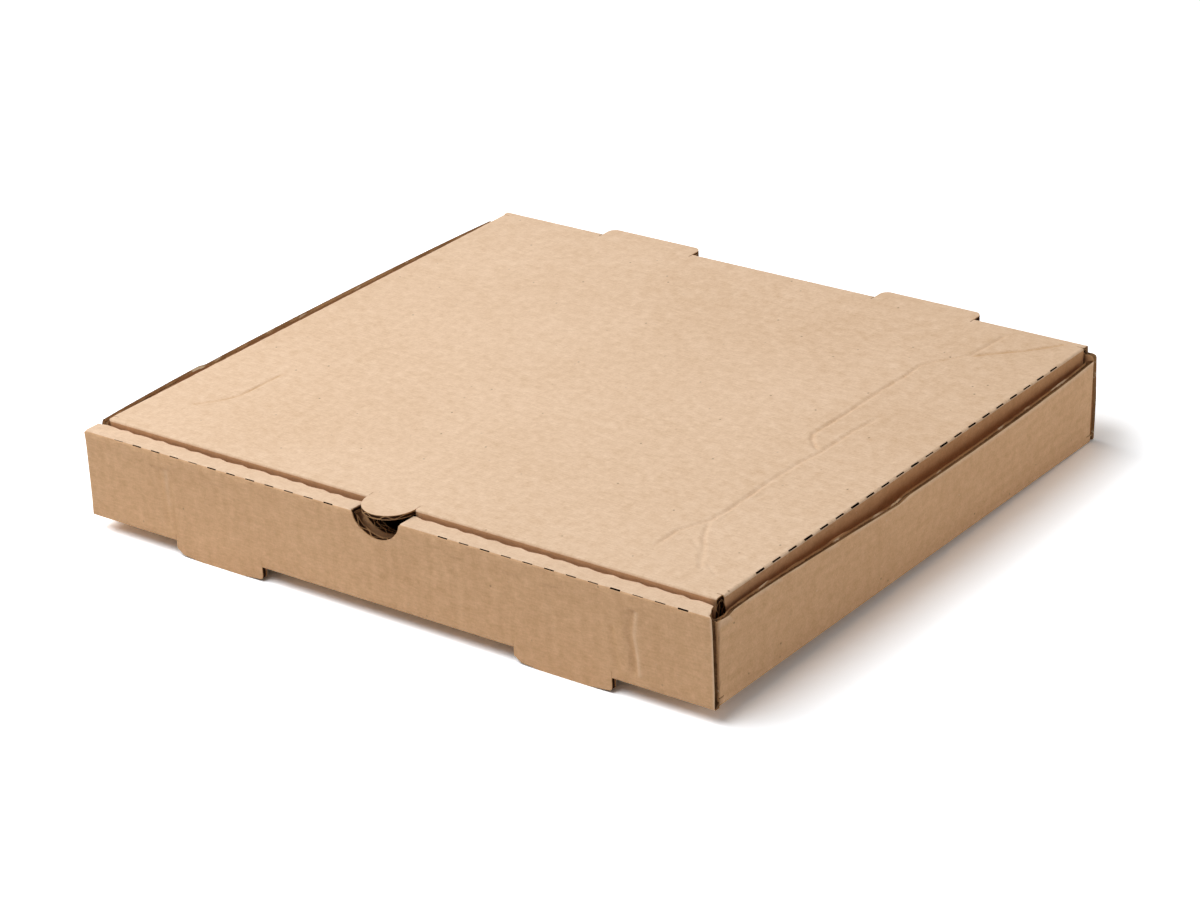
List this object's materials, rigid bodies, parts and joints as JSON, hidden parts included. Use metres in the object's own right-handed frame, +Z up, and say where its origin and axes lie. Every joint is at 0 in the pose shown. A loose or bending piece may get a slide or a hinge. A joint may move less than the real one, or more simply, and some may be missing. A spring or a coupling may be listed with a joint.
{
  "type": "pizza box",
  "caption": "Flat square-cornered carton of brown corrugated board with a hinged tuck lid, a roll-over front wall, a thumb notch and small feet.",
  "frame": {"origin": "middle of the footprint, at the level of the two front feet's lower edges", "axes": "+X to the right seen from the front, +Y from the front wall to the hinge, +Z up"},
  "size_m": [0.3326, 0.2912, 0.0494],
  "materials": {
    "tray_board": "matt uncoated brown kraft",
    "lid_board": "matt uncoated brown kraft"
  },
  "bodies": {
    "tray": {"tray": "tray_board"},
    "lid": {"lid": "lid_board"}
  },
  "joints": [
    {"name": "lid_hinge", "type": "hinge", "parent": "tray", "child": "lid", "pos_m": [0.00161, 0.13834, 0.0494], "axis": [-1, 0, 0], "range_deg": [0, 180]}
  ]
}
